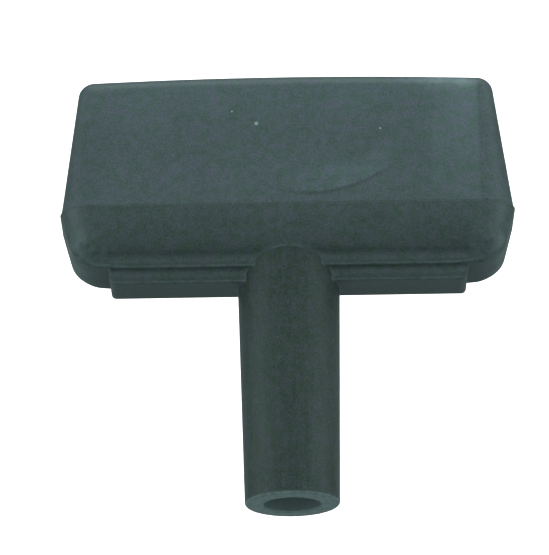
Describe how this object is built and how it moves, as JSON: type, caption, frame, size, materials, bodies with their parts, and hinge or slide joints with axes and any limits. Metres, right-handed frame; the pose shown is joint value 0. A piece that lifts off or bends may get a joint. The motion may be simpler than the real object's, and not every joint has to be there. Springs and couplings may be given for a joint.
{
  "type": "radiator bleed key",
  "caption": "Radiator bleed key with a wide drafted T grip, a stepped underside, a round shank and a square socket behind a round lead-in.",
  "frame": {"origin": "centre of the shank's open end face, where the socket's mouth is", "axes": "+X along the width of the grip, +Y up the shank from the open end to the top of the grip, +Z out of the grip's front face; the key lies on its back"},
  "size_m": [0.058, 0.0557, 0.016],
  "materials": {
    "grip_plastic": "fine moulded grain, satin, lightly scuffed",
    "shank_plastic": "fine moulded grain, satin",
    "core_steel": "turned and broached, dull",
    "pin_steel": "ground"
  },
  "bodies": {
    "root": {"grip_cap": "grip_plastic", "grip_base": "grip_plastic", "shank": "shank_plastic", "socket_core": "core_steel", "cross_pin": "pin_steel"}
  },
  "joints": []
}
